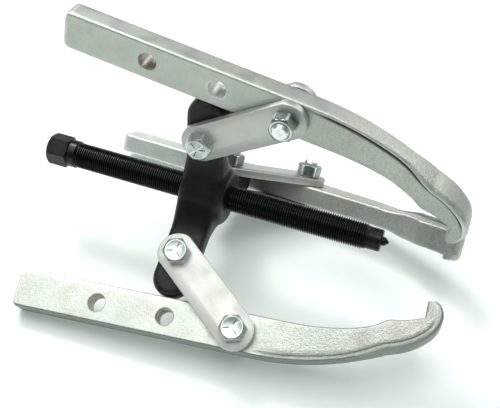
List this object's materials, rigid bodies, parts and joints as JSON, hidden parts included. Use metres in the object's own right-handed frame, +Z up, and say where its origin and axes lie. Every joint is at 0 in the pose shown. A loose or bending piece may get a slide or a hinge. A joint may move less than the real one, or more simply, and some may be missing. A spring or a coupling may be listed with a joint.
{
  "type": "gear puller",
  "caption": "Gear puller with a forcing screw through a three-armed yoke and hooked jaws hung on pivoting links.",
  "frame": {"origin": "middle of the footprint, on the surface that the tool lies on", "axes": "+X along the forcing screw towards its point, level on the surface; +Z up from the surface; one jaw stands above the screw"},
  "size_m": [0.263, 0.1802, 0.1624],
  "materials": {
    "jaw_steel": "satin nickel plate over forged steel",
    "link_steel": "satin nickel plate over stamped steel",
    "bolt_zinc": "bright zinc plate",
    "nut_zinc": "bright zinc plate",
    "yoke_black": "satin black over forged steel",
    "screw_steel": "black oxide, oiled",
    "point_steel": "hardened, ground"
  },
  "bodies": {
    "yoke": {"yoke": "yoke_black"},
    "screw_point": {"screw_point": "point_steel"},
    "forcing_screw": {"forcing_screw": "screw_steel"},
    "links_top": {"link_top_a": "link_steel", "link_top_b": "link_steel", "arm_bolt_top": "bolt_zinc", "arm_nut_top": "nut_zinc", "jaw_bolt_top": "bolt_zinc", "jaw_nut_top": "nut_zinc"},
    "jaw_top": {"jaw_top": "jaw_steel"},
    "links_front": {"link_front_a": "link_steel", "link_front_b": "link_steel", "arm_bolt_front": "bolt_zinc", "arm_nut_front": "nut_zinc", "jaw_bolt_front": "bolt_zinc", "jaw_nut_front": "nut_zinc"},
    "jaw_front": {"jaw_front": "jaw_steel"},
    "links_rear": {"link_rear_a": "link_steel", "link_rear_b": "link_steel", "arm_bolt_rear": "bolt_zinc", "arm_nut_rear": "nut_zinc", "jaw_bolt_rear": "bolt_zinc", "jaw_nut_rear": "nut_zinc"},
    "jaw_rear": {"jaw_rear": "jaw_steel"}
  },
  "joints": [
    {"name": "screw_feed", "type": "slide", "parent": "yoke", "child": "screw_point", "axis": [0.9998, 0.0003, 0.0202], "range_m": [-0.085, 0.068]},
    {"name": "screw_turn", "type": "hinge", "parent": "screw_point", "child": "forcing_screw", "pos_m": [-0.0259, 0.00193, 0.05785], "axis": [0.9998, 0.0003, 0.0202], "range_deg": [-21686, 17349]},
    {"name": "links_open_top", "type": "hinge", "parent": "yoke", "child": "links_top", "pos_m": [-0.0268, 0.00267, 0.10234], "axis": [0, -0.9999, 0.0166], "range_deg": [0, 46.1]},
    {"name": "jaw_in_top", "type": "hinge", "parent": "links_top", "child": "jaw_top", "pos_m": [0.02097, 0.00318, 0.13343], "axis": [0, 0.9999, -0.0166], "range_deg": [0, 5.5]},
    {"name": "links_open_front", "type": "hinge", "parent": "yoke", "child": "links_front", "pos_m": [-0.02545, -0.03697, 0.03625], "axis": [0.0175, 0.4856, -0.874], "range_deg": [0, 42.8]},
    {"name": "jaw_in_front", "type": "hinge", "parent": "links_front", "child": "jaw_front", "pos_m": [0.02145, -0.06568, 0.02124], "axis": [-0.0175, -0.4856, 0.874], "range_deg": [0, 10]},
    {"name": "links_open_rear", "type": "hinge", "parent": "yoke", "child": "links_rear", "pos_m": [-0.02545, 0.04009, 0.03497], "axis": [-0.0175, 0.5143, 0.8574], "range_deg": [0, 41]},
    {"name": "jaw_in_rear", "type": "hinge", "parent": "links_rear", "child": "jaw_rear", "pos_m": [0.02041, 0.06953, 0.01826], "axis": [0.0175, -0.5143, -0.8574], "range_deg": [0, 12]}
  ],
  "couplings": [
    {"joint": "screw_turn", "follows": "screw_feed", "rad_per_m": 4452.7}
  ]
}
